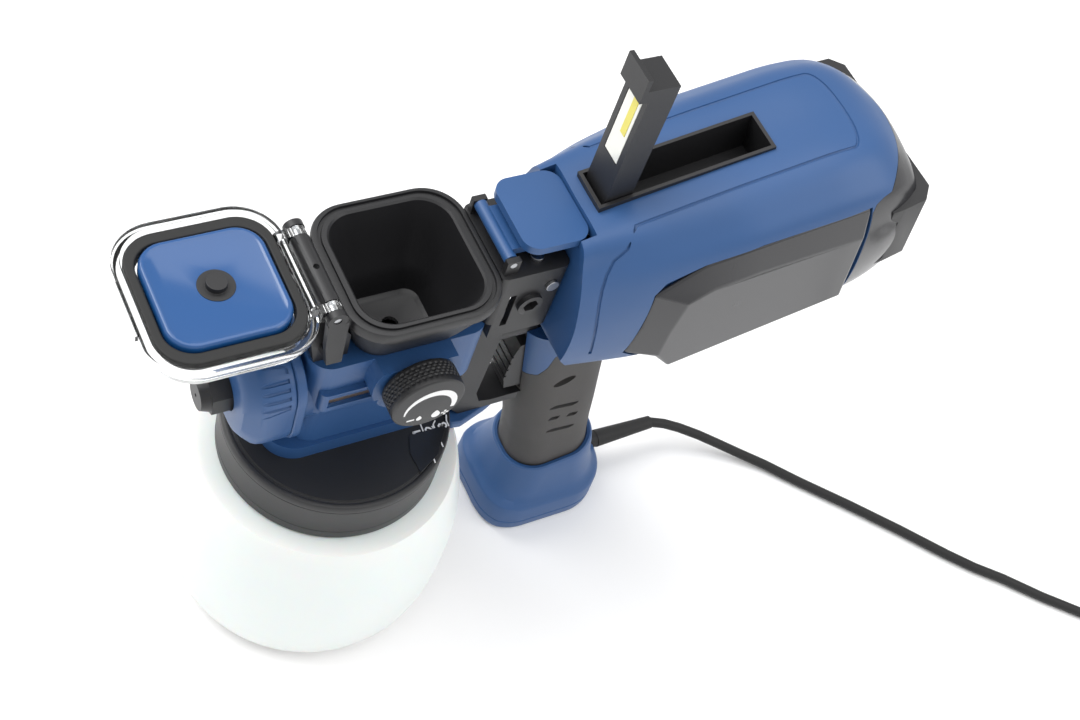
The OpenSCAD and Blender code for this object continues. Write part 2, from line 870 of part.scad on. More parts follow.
module foot() {
    color(blue) difference() {
        union() {
            block(foot_x, 0, foot_l, foot_w, 24, 0, 21);
            hull() {
                block(foot_x, 0, foot_l - 3, foot_w - 4, 22, 21, 21.1, $fn = 32);
                leaning() translate([hand_x, 0, -146.4]) linear_extrude(0.3)
                    rrect(grip_d, grip_w, 15, $fn = 32);
            }
        }
        block(foot_x, 0, foot_l - 7, foot_w - 7, 20, 3, 18);
        leaning() translate([hand_x, 0, -160]) linear_extrude(40) rrect(core_d, core_w, 12);
        rod_x(150, 170, 16, 4.3);
        for (x = [100, 142])
            translate([x, 0, -1]) cylinder(h = 3, r = 3);
    }
}

// ---------- mains lead ----------

module strain_relief() {
    color(black) translate([156, 0, 16]) rotate([0, 90, 0]) difference() {
        union() {
            cylinder(h = 6, r = 4.3);
            translate([0, 0, 6]) cylinder(h = 34, r1 = 4.6, r2 = 3.4);
        }
        translate([0, 0, -1]) cylinder(h = 50, r = lead_d / 2);
    }
}

function unit(v) = v / norm(v);
// smooth point on the route between points i and i + 1
function spline(p, i, t) = let (
    a = p[max(i - 1, 0)], b = p[i], c = p[i + 1], d = p[min(i + 2, len(p) - 1)])
    0.5 * (2 * b + (c - a) * t + (2 * a - 5 * b + 4 * c - d) * t * t + (3 * b - a - 3 * c + d) * t * t * t);

lead_sides = 8;
lead_line = concat([lead_pts[0]], [for (i = [0 : len(lead_pts) - 2], s = [1 : 2]) spline(lead_pts, i, s / 2)]);

// ring of points round the route at index k
function lead_ring(k) = let (
    n = len(lead_line),
    dir = k == 0 ? [1, 0, 0] : k == n - 1 ? [1, 0, 0] : unit(lead_line[k + 1] - lead_line[k - 1]),
    side = unit(cross(dir, [0, 0, 1])),
    up = cross(side, dir))
    [for (j = [0 : lead_sides - 1]) let (a = 360 * (j + 0.5) / lead_sides)
        lead_line[k] + lead_d / 2 * (cos(a) * side + sin(a) * up)];

module lead_tube() {
    n = len(lead_line);
    m = lead_sides;
    pts = [for (k = [0 : n - 1]) each lead_ring(k)];
    skin = [for (k = [0 : n - 2], j = [0 : m - 1])
        [k * m + j, (k + 1) * m + j, (k + 1) * m + (j + 1) % m, k * m + (j + 1) % m]];
    polyhedron(concat(pts), concat([[for (j = [0 : m - 1]) j]], skin,
        [[for (j = [m - 1 : -1 : 0]) (n - 1) * m + j]]), convexity = 6);
}

module cord_lead() {
    color(black) lead_tube();
}

// the rest of the lead lies in a tight coil, two layers of four turns
module cord_coil() {
    color(black) translate([coil_c[0], coil_c[1], 0.1]) rotate_extrude($fn = 72)
        translate([coil_r, lead_d * coil_layers / 2])
            square([coil_turns * lead_d, coil_layers * lead_d], center = true);
}

// two-pin plug lying beside the coil
module cord_plug() {
    x = coil_c[0] + coil_r + lead_d * 1.5;
    y = coil_c[1] + 34;
    z = 8;
    color(black) {
        rod_y(x, z, coil_c[1] + 6, y + 1, lead_d / 2);
        rod_y(x, z, coil_c[1] + 22, y + 1, 4.2);
        translate([x, y + 36, z]) rotate([90, 0, 0]) linear_extrude(36) rrect(24, 15.6, 5);
    }
    color(brass) for (s = [-1, 1])
        rod_y(x + 9.5 * s, z, y + 35, y + 55, 2);
}

// ---------- drawing ----------

container();
container_gasket();
cap();
cap_label();
suction_tube();
suction_filter();
spray_head();
pump_block();
pump_cylinder();
inlet_valve();
outlet_valve();
piston();
piston_seal();
front_collar();
collar_ring();
nozzle();
slot_window();
knob();
knob_spindle();
hopper();
hinge_bracket();
lid_hinge_pin();
lid();
lid_seal();
lid_insert();
vent_stem();
bracket_block();
bracket_screws();
latch_pin();
latch_paddle();
trigger_guard();
guard_tongue();
housing_left();
housing_right();
deck_cover();
lamp_tray();
lamp_pin();
lamp_bar();
lamp_lens();
side_panel_left();
side_panel_right();
rear_cap();
vent_covers();
motor_can();
motor_bearings();
rotor();
fan();
pinion();
crank_gear();
gear_plate();
control_board();
switch();
trigger();
trigger_pin();
grip_sleeve();
foot();
strain_relief();
cord_lead();
cord_coil();
cord_plug();
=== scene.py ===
"""Looks of the airless paint sprayer: camera, materials, mains lead, the shells built here, then the
remaining CAD pieces and light. Lengths in the helpers are millimetres in the part's frame."""

import json
import math

import bmesh
import bpy
import numpy as np
from mathutils import Matrix, Vector
from mathutils.bvhtree import BVHTree

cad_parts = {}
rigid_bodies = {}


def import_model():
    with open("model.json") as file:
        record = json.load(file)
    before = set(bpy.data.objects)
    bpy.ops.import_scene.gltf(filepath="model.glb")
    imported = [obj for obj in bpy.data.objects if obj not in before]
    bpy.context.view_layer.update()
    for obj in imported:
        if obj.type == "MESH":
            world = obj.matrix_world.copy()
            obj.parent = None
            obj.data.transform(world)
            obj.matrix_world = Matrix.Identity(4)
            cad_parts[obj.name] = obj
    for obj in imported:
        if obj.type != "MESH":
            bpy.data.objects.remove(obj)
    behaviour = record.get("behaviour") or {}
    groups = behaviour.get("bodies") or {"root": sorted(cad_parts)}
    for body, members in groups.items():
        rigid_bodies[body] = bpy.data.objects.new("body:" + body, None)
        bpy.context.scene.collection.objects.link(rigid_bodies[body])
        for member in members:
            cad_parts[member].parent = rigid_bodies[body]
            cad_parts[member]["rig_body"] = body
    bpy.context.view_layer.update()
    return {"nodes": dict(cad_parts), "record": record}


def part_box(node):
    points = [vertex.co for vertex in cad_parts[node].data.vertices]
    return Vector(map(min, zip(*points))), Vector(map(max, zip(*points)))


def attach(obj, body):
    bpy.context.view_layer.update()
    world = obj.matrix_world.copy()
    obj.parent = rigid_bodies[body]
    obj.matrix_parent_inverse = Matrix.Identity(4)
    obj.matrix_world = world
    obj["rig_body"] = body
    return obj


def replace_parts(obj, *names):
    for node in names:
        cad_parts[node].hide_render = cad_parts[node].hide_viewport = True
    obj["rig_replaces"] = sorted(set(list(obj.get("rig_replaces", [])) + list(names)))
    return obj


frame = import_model()
nodes = frame["nodes"]
scene = bpy.context.scene
MM = 0.001

# ---------- camera ----------

CAM_AIM = Vector((0.0, 0.0, 0.150))
CAM_AZ, CAM_EL, CAM_ROLL = map(math.radians, (-45.6, 52.8, 23.9))
CAM_SHIFT = Vector((-0.0799, -0.0052, -0.6755))  # the aim point in camera axes

back = Vector((math.sin(CAM_AZ) * math.cos(CAM_EL), -math.cos(CAM_AZ) * math.cos(CAM_EL), math.sin(CAM_EL)))
level = Vector((math.cos(CAM_AZ), math.sin(CAM_AZ), 0))
upright = back.cross(level)
right = level * math.cos(CAM_ROLL) + upright * math.sin(CAM_ROLL)
up = -level * math.sin(CAM_ROLL) + upright * math.cos(CAM_ROLL)
cam_data = bpy.data.cameras.new("camera")
cam_data.lens = 54.5
cam_data.sensor_width = 36
cam_data.clip_end = 50
camera = bpy.data.objects.new("camera", cam_data)
scene.collection.objects.link(camera)
turn = Matrix((right, up, back)).transposed()
camera.matrix_world = Matrix.Translation(CAM_AIM - turn @ CAM_SHIFT) @ turn.to_4x4()
scene.camera = camera

# ---------- the leaning frame of the motor body ----------

PITCH = math.radians(11)
LEAN = Matrix.Translation((60, 0, 180)) @ Matrix.Rotation(-PITCH, 4, "Y")


# ---------- materials ----------


def material(name, color, rough=0.45, metal=0.0, coat=0.0, bump=0.0, grain=2500.0, vary=0.05, **extra):
    """Principled surface with fine grain in colour, roughness and relief. color is linear RGB."""
    m = bpy.data.materials.new(name)
    m.use_nodes = True
    t = m.node_tree
    bsdf = t.nodes["Principled BSDF"]
    coord = t.nodes.new("ShaderNodeTexCoord")
    noise = t.nodes.new("ShaderNodeTexNoise")
    noise.inputs["Scale"].default_value = grain
    noise.inputs["Detail"].default_value = 4
    wide = t.nodes.new("ShaderNodeTexNoise")
    wide.inputs["Scale"].default_value = 35
    wide.inputs["Detail"].default_value = 3
    t.links.new(coord.outputs["Object"], noise.inputs["Vector"])
    t.links.new(coord.outputs["Object"], wide.inputs["Vector"])
    mix = t.nodes.new("ShaderNodeMix")
    mix.data_type = "RGBA"
    mix.inputs[6].default_value = (*[c * (1 - vary) for c in color], 1)
    mix.inputs[7].default_value = (*[min(1, c * (1 + vary)) for c in color], 1)
    t.links.new(wide.outputs["Fac"], mix.inputs["Factor"])
    t.links.new(mix.outputs[2], bsdf.inputs["Base Color"])
    spread = t.nodes.new("ShaderNodeMapRange")
    spread.inputs["To Min"].default_value = rough * 0.88
    spread.inputs["To Max"].default_value = min(1, rough * 1.12)
    t.links.new(wide.outputs["Fac"], spread.inputs["Value"])
    t.links.new(spread.outputs["Result"], bsdf.inputs["Roughness"])
    relief = t.nodes.new("ShaderNodeBump")
    relief.inputs["Strength"].default_value = bump
    relief.inputs["Distance"].default_value = 0.0002
    t.links.new(noise.outputs["Fac"], relief.inputs["Height"])
    t.links.new(relief.outputs["Normal"], bsdf.inputs["Normal"])
    bsdf.inputs["Metallic"].default_value = metal
    bsdf.inputs["Coat Weight"].default_value = coat
    bsdf.inputs["Coat Roughness"].default_value = 0.12
    for key, value in extra.items():
        bsdf.inputs[key.replace("_", " ")].default_value = value
    return m


def srgb(r, g, b):
    return tuple((c / 255 / 12.92) if c < 11 else ((c / 255 + 0.055) / 1.055) ** 2.4 for c in (r, g, b))


MAT = {
    "matte_plastic_blue": material("blue", srgb(42, 80, 129), 0.42, bump=0.10),
    "gloss_plastic_blue": material("blue_gloss", srgb(26, 76, 132), 0.16, coat=0.4),
    "matte_plastic_black": material("black", srgb(30, 30, 32), 0.44, bump=0.16, grain=1800),
    "gloss_plastic_dark": material("panel", srgb(40, 40, 43), 0.26, coat=0.25),
    "bottle_white": material("bottle", srgb(232, 232, 230), 0.4, bump=0.05, vary=0.01, Subsurface_Weight=0.25,
                             Subsurface_Scale=0.01),
    "clear_plastic": material("clear", (0.97, 0.98, 0.98), 0.04, vary=0.0, Transmission_Weight=1.0, IOR=1.49),
    "rubber_black": material("rubber", srgb(24, 24, 24), 0.62, bump=0.2),
    "grip_rubber": material("grip", srgb(66, 64, 63), 0.68, bump=0.35, grain=1400),
    "steel": material("steel", srgb(180, 182, 185), 0.3, metal=1.0),
    "aluminium": material("aluminium", srgb(168, 170, 172), 0.42, metal=1.0, bump=0.2),
    "brass": material("brass", srgb(176, 141, 70), 0.32, metal=1.0),
    "lens": material("lens", srgb(236, 236, 228), 0.12, coat=0.5, Emission_Strength=0.0),
    "label": material("label", srgb(32, 33, 36), 0.3, coat=0.2),
    "board_green": material("board", srgb(31, 95, 55), 0.4),
}
MAT["print_white"] = material("print_white", srgb(236, 236, 236), 0.5, vary=0.01)
MAT["led_yellow"] = material("led_yellow", srgb(226, 214, 96), 0.35, vary=0.03)
MAT["slot_dark"] = material("slot_dark", srgb(92, 78, 66), 0.3, coat=0.3)
SLOT = {s["node"]: s["material_slot"] for s in frame["record"]["subparts"]}
BODY = {n: o["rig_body"] for n, o in nodes.items()}

# ---------- mesh helpers ----------


def make(name, verts, faces, mat, body, replaces=(), slot=None, angle=32.0, bevel=0.0, segments=3):
    """Finished piece from points in millimetres, riding a CAD body."""
    return dress(raw(name, verts, faces), mat, body, replaces, angle, bevel, segments)


def clean(obj, dissolve=0.0):
    """Welds doubled points, joins faces flatter than dissolve degrees, and turns the normals outwards."""
    bm = bmesh.new()
    bm.from_mesh(obj.data)
    bmesh.ops.remove_doubles(bm, verts=bm.verts, dist=2e-6)
    if dissolve:
        bmesh.ops.dissolve_limit(bm, angle_limit=math.radians(dissolve), verts=bm.verts, edges=bm.edges)
    bmesh.ops.recalc_face_normals(bm, faces=bm.faces)
    bm.to_mesh(obj.data)
    bm.free()


def dress(obj, mat, body, replaces=(), angle=32.0, bevel=0.0, segments=3):
    """Material, soft edges and shading; then the piece rides its body."""
    obj.data.materials.clear()
    obj.data.materials.append(MAT[mat])
    for p in obj.data.polygons:
        p.use_smooth = True
    obj.data.set_sharp_from_angle(angle=math.radians(angle))
    if bevel:
        b = obj.modifiers.new("edges", "BEVEL")
        b.width = bevel * MM
        b.segments = segments
        b.limit_method = "ANGLE"
        b.angle_limit = math.radians(angle)
        b.harden_normals = True
    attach(obj, body)
    if replaces:
        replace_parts(obj, *replaces)
    return obj


def from_cad(node, bevel, mat=None, segments=2):
    """A CAD node with welded faces, softened edges and its finish."""
    obj = nodes[node].copy()
    obj.data = nodes[node].data.copy()
    for key in list(obj.keys()):
        del obj[key]
    obj.parent = None
    obj.name = node + "_piece"
    scene.collection.objects.link(obj)
    clean(obj, dissolve=0.6)
    return dress(obj, mat or SLOT[node], BODY[node], (node,), bevel=bevel, segments=segments)


def skin(rings):
    """Points and faces of a closed solid through rings of equal length."""
    n = len(rings[0])
    verts = [p for ring in rings for p in ring]
    faces = []
    for k in range(len(rings) - 1):
        for j in range(n):
            a, b = k * n + j, k * n + (j + 1) % n
            faces.append((a, b, b + n, a + n))
    faces.append(tuple(range(n))[::-1])
    faces.append(tuple(range((len(rings) - 1) * n, len(rings) * n)))
    return verts, faces


def rrect(cx, cy, w, h, r, z, steps=9):
    """Ring of a rounded rectangle at height z."""
    out = []
    for sx, sy, a0 in ((1, 1, 0), (-1, 1, 90), (-1, -1, 180), (1, -1, 270)):
        for i in range(steps + 1):
            a = math.radians(a0 + 90 * i / steps)
            out.append((cx + sx * (w / 2 - r) + r * math.cos(a), cy + sy * (h / 2 - r) + r * math.sin(a), z))
    return out


def circle(cx, cy, r, z, n):
    """Level ring of n points."""
    angles = [2 * math.pi * i / n for i in range(n)]
    return [(cx + r * math.cos(a), cy + r * math.sin(a), z) for a in angles]


def along(path, ring):
    """Closed tube through the path points. Its section, ring = [(u, v)], is carried along without twist."""
    path = [Vector(p) for p in path]
    rings = []
    side = None
    for i, p in enumerate(path):
        d = (path[min(i + 1, len(path) - 1)] - path[max(i - 1, 0)]).normalized()
        if side is None:
            side = d.cross(Vector((0, 0, 1)) if abs(d.z) < 0.9 else Vector((1, 0, 0)))
        side = (side - d * side.dot(d)).normalized()
        top = side.cross(d)
        rings.append([p + side * u + top * v for u, v in ring])
    return skin(rings)


def around(n):
    """n even angles of a full turn."""
    return np.linspace(0, 2 * math.pi, n, endpoint=False)


def x_circle(r, x, cz, n):
    """Ring round the X direction, on the middle plane."""
    return [(x, r * math.cos(a), cz + r * math.sin(a)) for a in around(n)]


def y_circle(cx, cz, r, y, n):
    """Ring round the Y direction."""
    return [(cx + r * math.cos(a), y, cz + r * math.sin(a)) for a in around(n)]


def disc(r, n):
    """Section of a round tube, for along()."""
    return [(r * math.cos(2 * math.pi * i / n), r * math.sin(2 * math.pi * i / n)) for i in range(n)]


def raw(name, verts, faces):
    """Plain mesh object from points in millimetres, still without a finish."""
    mesh = bpy.data.meshes.new(name)
    mesh.from_pydata([Vector(v) * MM for v in verts], [], faces)
    obj = bpy.data.objects.new(name, mesh)
    scene.collection.objects.link(obj)
    clean(obj)
    return obj


def cutter(rings):
    """Helper solid through rings, used up by boolean()."""
    return raw("cutter", *skin(rings))


def boolean(obj, cutters, how="DIFFERENCE"):
    """Applies the cutters to obj's mesh and removes them."""
    for c in cutters:
        m = obj.modifiers.new("b", "BOOLEAN")
        m.operation = how
        m.solver = "EXACT"
        m.object = c
    bpy.context.view_layer.update()
    done = bpy.data.meshes.new_from_object(obj.evaluated_get(bpy.context.evaluated_depsgraph_get()))
    obj.modifiers.clear()
    obj.data = done
    for c in cutters:
        bpy.data.objects.remove(c)
    return obj


def prism(outline, y0, y1):
    """Solid between y0 and y1 with an outline given as (x, z)."""
    return cutter([[(x, y0, z) for x, z in outline], [(x, y1, z) for x, z in outline]])


def in_lean(obj):
    """Moves a mesh from the motor body's frame to the part's."""
    obj.data.transform(Matrix.Scale(MM, 4) @ LEAN @ Matrix.Scale(1 / MM, 4))
    return obj


# ---------- mains lead ----------

LEAD_D = 5.2
ROUTE = [(196, 0, 16), (204, -3, 15.2), (212, -7, 13.4), (222, -13, 10.6), (232, -20, 7.6),
         (243, -28.5, 4.8), (254, -38, 3.2), (268, -53.5, 2.7), (289, -76, 2.7), (308.5, -98, 2.7),
         (327, -120, 2.7), (338, -132, 2.7), (350, -143, 2.7), (366, -160, 2.7), (383, -176, 2.7),
         (402, -193, 2.7), (424, -208, 2.7), (448, -218, 2.7)]
coil_lo, coil_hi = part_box("cord_coil")
coil_c = (coil_lo + coil_hi) / 2 / MM
COIL_R = 37.8
COIL_RINGS = 4
COIL_TURNS = 7.25
COIL_STEPS = 32  # points in a turn
LEAD_Z = 2.7  # centre of a lead on the floor
PITCH_D = LEAD_D + 0.05
radii = [COIL_R - PITCH_D * k for k in range(COIL_RINGS)]
points = [Vector(p) for p in ROUTE]


def shift(part, start):
    """How far the lead has moved over by its own pitch, in the quarter turn after start."""
    ease = np.clip((part - start) * 4, 0, 1)
    return PITCH_D * ease**2 * (3 - 2 * ease)


def coil_at(t):
    """Radius and height after t turns: four turns inwards, up one layer, then outwards on top."""
    k, part = int(t), t % 1
    last = COIL_RINGS - 1
    if t < COIL_RINGS:
        inwards = shift(part, 0.75) if k < last else 0
        upwards = shift(part, 0.5) if k == last else 0
        return radii[k] - inwards, upwards
    k -= COIL_RINGS
    outwards = shift(part, 0.25) if k < last else 0
    return radii[last - k] + outwards, PITCH_D


for i in range(int(COIL_TURNS * COIL_STEPS) + 1):
    t = i / COIL_STEPS
    rr, z = coil_at(t)
    a = 2 * math.pi * t - math.pi / 2
    points.append(Vector((coil_c.x + rr * math.cos(a), coil_c.y + rr * math.sin(a), LEAD_Z + z)))
points.append(points[-1] + Vector((0, 7, 0)))
curve = bpy.data.curves.new("mains_lead", "CURVE")
curve.dimensions = "3D"
curve.bevel_depth = LEAD_D / 2 * MM
curve.bevel_resolution = 4
curve.resolution_u = 6
curve.use_fill_caps = True
spline = curve.splines.new("POLY")
spline.points.add(len(points) - 1)
for p, q in zip(spline.points, points):
    p.co = (*(q * MM), 1)
lead = bpy.data.objects.new("mains_lead", curve)
scene.collection.objects.link(lead)
curve.materials.append(MAT["rubber_black"])
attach(lead, BODY["cord_lead"])
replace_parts(lead, "cord_lead", "cord_coil")
plug = from_cad("cord_plug", 1.2, "matte_plastic_black", segments=3)

# ---------- motor body, lofted in the leaning frame ----------

FRONT_HALF = [(0, 52), (19, 51), (24, 40), (30, 25), (34, 8), (33, -10), (27, -24), (15, -33), (0, -36)]
MID_HALF = [(0, 54), (22, 54), (34, 46.5), (40.5, 38), (44, 20), (44, -11), (39, -29), (18, -44), (0, -47)]
REAR_HALF = [(0, 38), (14, 36), (26, 32), (34, 26), (39, 14), (39, -6), (33, -22), (15, -34), (0, -36)]
FRONT_BLEND = ((14, 34, 51, 96), (1, 0.66, 0.38, 0))
REAR_BLEND = ((142, 158, 168, 176, 181, 186), (0, 0.12, 0.36, 0.72, 1, 1.25))
SIDE_LINE = [(28.6, 60), (16.5, -9.3), (24.9, -29.3), (42, -45), (54, -56), (200, -56), (200, 60)]
PANEL_LINE = [(53, 26), (58, 31), (75, 35.5), (100, 38), (152, 36), (152, -26), (60, -32), (44, -14)]


BODY_X = (6.0, 180.5)
BODY_HALF_W = 44
BODY_MID_Z = 4
FAR = 80  # clear of the body's side and deck


def ease_table(x, table, soft=5.0):
    """Value of a table of (places, values) at x, with its corners rounded over soft."""
    return float(np.mean([np.interp(x + d, *table) for d in np.linspace(-soft, soft, 7)]))


def body_half(x):
    """Half section at x, as (y, z) from the deck's middle to the belly's."""
    mid, front, rear = (np.array(h, float) for h in (MID_HALF, FRONT_HALF, REAR_HALF))
    kf, kr = ease_table(x, FRONT_BLEND), ease_table(x, REAR_BLEND)
    return mid + (front - mid) * kf + (rear - mid) * kr


def smooth_loop(loop, sub=6):
    """Closed Catmull-Rom curve through the points."""
    n = len(loop)
    out = []
    for i in range(n):
        a, b, c, d = (loop[(i + k - 1) % n] for k in range(4))
        for s in range(sub):
            t = s / sub
            bend = 2 * a - 5 * b + 4 * c - d
            out.append(0.5 * (2 * b + (c - a) * t + bend * t**2 + (3 * b - a - 3 * c + d) * t**3))
    return out


def body_ring(x, t):
    """Section at x, drawn in by a wall of t."""
    half = body_half(x)
    keep = 1 - t / BODY_HALF_W
    half = np.column_stack([half[:, 0] * keep, BODY_MID_Z + (half[:, 1] - BODY_MID_Z) * keep])
    loop = list(half) + [np.array([-y, z]) for y, z in half[-2:0:-1]]
    return [(x, p[0], p[1]) for p in smooth_loop(loop)]


def body_solid(name, t):
    """The whole body drawn in by t, with its rear end crowned."""
    x0, x1 = BODY_X
    rings = [body_ring(x, t) for x in np.arange(x0, x1 - t, 4.0)]
    tail = x1 - t
    rings.append(body_ring(tail, t))
    for grow, push in ((2.0, 1.4), (5.0, 2.2)):
        rings.append([(tail + push, y, z) for _, y, z in body_ring(tail, t + grow)])
    return raw(name, *skin(rings))


def seam(gap):
    """Region in front of the bowed seam between body and rear cap."""
    outline = [(0, -70), (0, 70)] + [(180 - gap - 0.0125 * y * y, y) for y in np.arange(69, -70, -3.0)]
    return cutter([[(x, y, -90) for x, y in outline], [(x, y, 90) for x, y in outline]])


def box_cut(lo, hi):
    """Helper box between two corners."""
    (x0, y0, z0), (x1, y1, z1) = lo, hi
    ring = [(x0, y0), (x1, y0), (x1, y1), (x0, y1)]
    return cutter([[(x, y, z0) for x, y in ring], [(x, y, z1) for x, y in ring]])


outer = body_solid("outer", 0)
shape = BVHTree.FromObject(outer, bpy.context.evaluated_depsgraph_get())


def on_body(origin, direction):
    """Point where a ray meets the body's surface, in millimetres."""
    hit = shape.ray_cast(Vector(origin) * MM, Vector(direction).normalized())[0]
    return hit / MM if hit else Vector(origin)


def groove(path, r):
    """Round-bottomed groove of radius r along a path."""
    return raw("cutter", *along(path, disc(r, 8)))


NECK_LINE = [(0, -20), (31, -20), (29.5, -35), (25, -39), (22.5, -48), (19.2, -55), (15, -58), (0, -58)]
REAR_ZONE = [(152.2, -60), (152.2, 33), (154, 36.5), (158, 38), (200, 38), (200, -60)]
TRIGGER_SLOT = ((70, -8, 110.5), (94, 8, 158))
LATCH_NOTCH = ((70, -18.5, 232.2), (83.4, 18.5, 262))
LAMP_TRAY_ROOM = ((38.9, -9.75, 20), (119.1, 9.75, 80))
HANDLE_X = 35.7
DECK_GROOVE_Y = 20.6
DECK_GROOVE_R = 0.75
GROOVE_TURN_R = 7
WALL = 4.4
WALL_FRONT = 4.6
PANEL_WALL = 2.4
PASSAGE_R = 8.2


def handle_core(w, d, r, z0, z1):
    """Upright rounded bar in the middle of the handle."""
    return cutter([rrect(HANDLE_X, 0, w, d, r, z) for z in (z0, z1)])


def grip_solid(name, z0, z1):
    """The grip's outer form: rows are (z, centre x, width along x, width along y)."""
    rows = [(-152, 35.7, 43.5, 34.5), (-138, 35.7, 42.6, 33.8), (-122, 36, 42.2, 33.4),
            (-104, 35.6, 43.2, 34.6), (-88, 35.2, 44, 35), (-72, 35.5, 43.8, 35), (-52, 35.7, 44, 35),
            (-24, 35.7, 44, 35)]
    table = np.array(rows)
    rings = []
    for z in np.arange(z0, z1 + 0.1, 4.0):
        cx, w, d = (float(np.interp(z, table[:, 0], table[:, k])) for k in (1, 2, 3))
        rings.append(rrect(cx, 0, w, d, 15, z, 12))
    return raw(name, *skin(rings))


def inside(outline, shift, cut):
    """Keeps the part of cut that lies inside an (x, z) outline."""
    return boolean(cut, [prism([(x + shift, z) for x, z in outline], -FAR, FAR)], "INTERSECT")


def body_hollow():
    """Room inside the body, which leaves a wall at the front too."""
    return inside(SIDE_LINE, WALL_FRONT, body_solid("hollow", WALL))


blue = boolean(outer, [prism(SIDE_LINE, -FAR, FAR)], "INTERSECT")
blue = boolean(blue, [seam(0.0)], "INTERSECT")
blue = boolean(blue, [prism(REAR_ZONE, -FAR, FAR)])
pockets = []
for s in (-1, 1):
    cut = prism(PANEL_LINE, *sorted((20 * s, 70 * s)))
    pockets.append(boolean(cut, [body_solid("inner", PANEL_WALL)]))
# one groove runs down the front, along the deck, round its rear end and back
BEND = [(29, -8), (29, 6), (29.5, 17), (30.5, 26), (32, 33), (34.5, 39), (38, 44), (44, 47.5)]
sides = {}
for s in (-1, 1):
    sides[s] = [on_body((x, FAR * s, z), (0, -s, 0)) for x, z in BEND]
    sides[s] += [on_body((x, DECK_GROOVE_Y * s, FAR), (0, 0, -1)) for x in np.arange(50, 149, 6.0)]
arc = []
for a in np.linspace(-1.5, 1.5, 15):
    arc.append(on_body((150 + GROOVE_TURN_R * math.cos(a), DECK_GROOVE_Y * math.sin(a), FAR), (0, 0, -1)))
deck_groove = groove(sides[-1] + arc + sides[1][::-1], DECK_GROOVE_R)
blue = boolean(blue, pockets + [body_hollow(), box_cut(*LAMP_TRAY_ROOM), deck_groove])
neck = inside(NECK_LINE, 0, grip_solid("neck", -60, -24))
neck = boolean(neck, [handle_core(38, 29, 12, -152, -33)], "UNION")
neck = boolean(neck, [handle_core(33, 24, 9.5, -156, -24), body_hollow()])
blue = boolean(blue, [neck], "UNION")
in_lean(blue)
passage = cutter([x_circle(PASSAGE_R, x, 160, 24) for x in (60, 106)])
blue = boolean(blue, [box_cut(*TRIGGER_SLOT), box_cut(*LATCH_NOTCH), passage])
blue.name = "motor_body_shell"
dress(blue, "matte_plastic_blue", "frame_body", ("housing_left", "housing_right", "deck_cover"),
      angle=38, bevel=0.5)

# side panels: a broad chamfer runs along the top and the front of each
PANEL_FACE = [(66, 21), (78, 24), (100, 24), (149, 21.5), (149, -23), (64, -27), (57, -14), (60, 2)]
PANEL_RIM = [(53.4, 25.6), (75, 35), (100, 37.5), (151.5, 35.6), (151.5, -25.6), (60.5, -31.6),
             (44.8, -14), (49, 6)]
PANEL_FLAT_Y, PANEL_TOP_Y, PANEL_TOP_Z = 45.2, 44.4, 22.5
for s, side in ((-1, "left"), (1, "right")):
    rim, face, inner_rim = [], [], []
    for (x, z), (xf, zf) in zip(PANEL_RIM, PANEL_FACE):
        p = on_body((x, 90 * s, z), (0, -s, 0))
        rim.append((x, p.y + 0.1 * s, z))
        inner_rim.append((x, p.y - 1.8 * s, z))
        face.append((xf, PANEL_FLAT_Y * s if zf < PANEL_TOP_Z else PANEL_TOP_Y * s, zf))
    panel = in_lean(raw("side_panel_" + side + "_piece", *skin([inner_rim, rim, face])))
    dress(panel, "gloss_plastic_dark", "frame_body", ("side_panel_" + side,), angle=12, bevel=0.9, segments=4)

rear = body_solid("rear_cap_piece", 0.15)
GAP = 0.3
rear_zone = [(x + GAP if x < 160 else x, z - GAP if z > 0 else z) for x, z in REAR_ZONE]
front_part = boolean(seam(-GAP), [prism(rear_zone, -90, 90)])
rear = boolean(rear, [front_part, body_solid("inner", 3.4), box_cut((-10, -100, -100), (130, 100, 100))])
dress(in_lean(rear), "gloss_plastic_dark", "frame_body", ("rear_cap",), angle=38, bevel=0.4)

# ---------- handle and foot ----------

grip = grip_solid("grip_sleeve_piece", -146, -30)
neck_room = [(x + 0.25, z - 0.25 if z < -50 else z) for x, z in NECK_LINE]
cuts = [handle_core(38.2, 29.2, 12, -152, -20), prism(neck_room, -60, 60), body_solid("under", -0.15)]
SLOTS = ((26.5, -88, 15), (26.8, -99, 5.5), (36.4, -102, 5.5), (26.8, -112, 15))  # x, z, width
SLOT_TILT = math.radians(18)
tilt_c, tilt_s = math.cos(SLOT_TILT), math.sin(SLOT_TILT)
for s in (-1, 1):
    for x, z, width in SLOTS:
        # slot with slanted ends, down to the core
        corners = [(0, 0), (width * 0.86, 0), (width, 1.6), (width, 3), (width * 0.14, 3), (0, 1.4)]
        outline = [(x + u * tilt_c + v * tilt_s, z - u * tilt_s + v * tilt_c) for u, v in corners]
        cuts.append(prism(outline, *sorted((12 * s, 25 * s))))
    # slanted oval hole of the handle's screw
    screw = []
    for a in around(28):
        x = 32 + 5.4 * math.cos(a) - 0.8 * math.sin(a)
        z = -64.5 + 2.6 * math.sin(a) + 1.4 * math.cos(a)
        screw.append((x, z))
    cuts.append(prism(screw, *sorted((14.9 * s, 25 * s))))
grip = in_lean(boolean(grip, cuts))
grip = boolean(grip, [box_cut(*TRIGGER_SLOT)])
dress(grip, "grip_rubber", "frame_body", ("grip_sleeve",), angle=42, bevel=0.5)


FOOT_X, FOOT_L, FOOT_W, FOOT_R = 122, 74, 56, 24
FOOT_DENT = 5.0


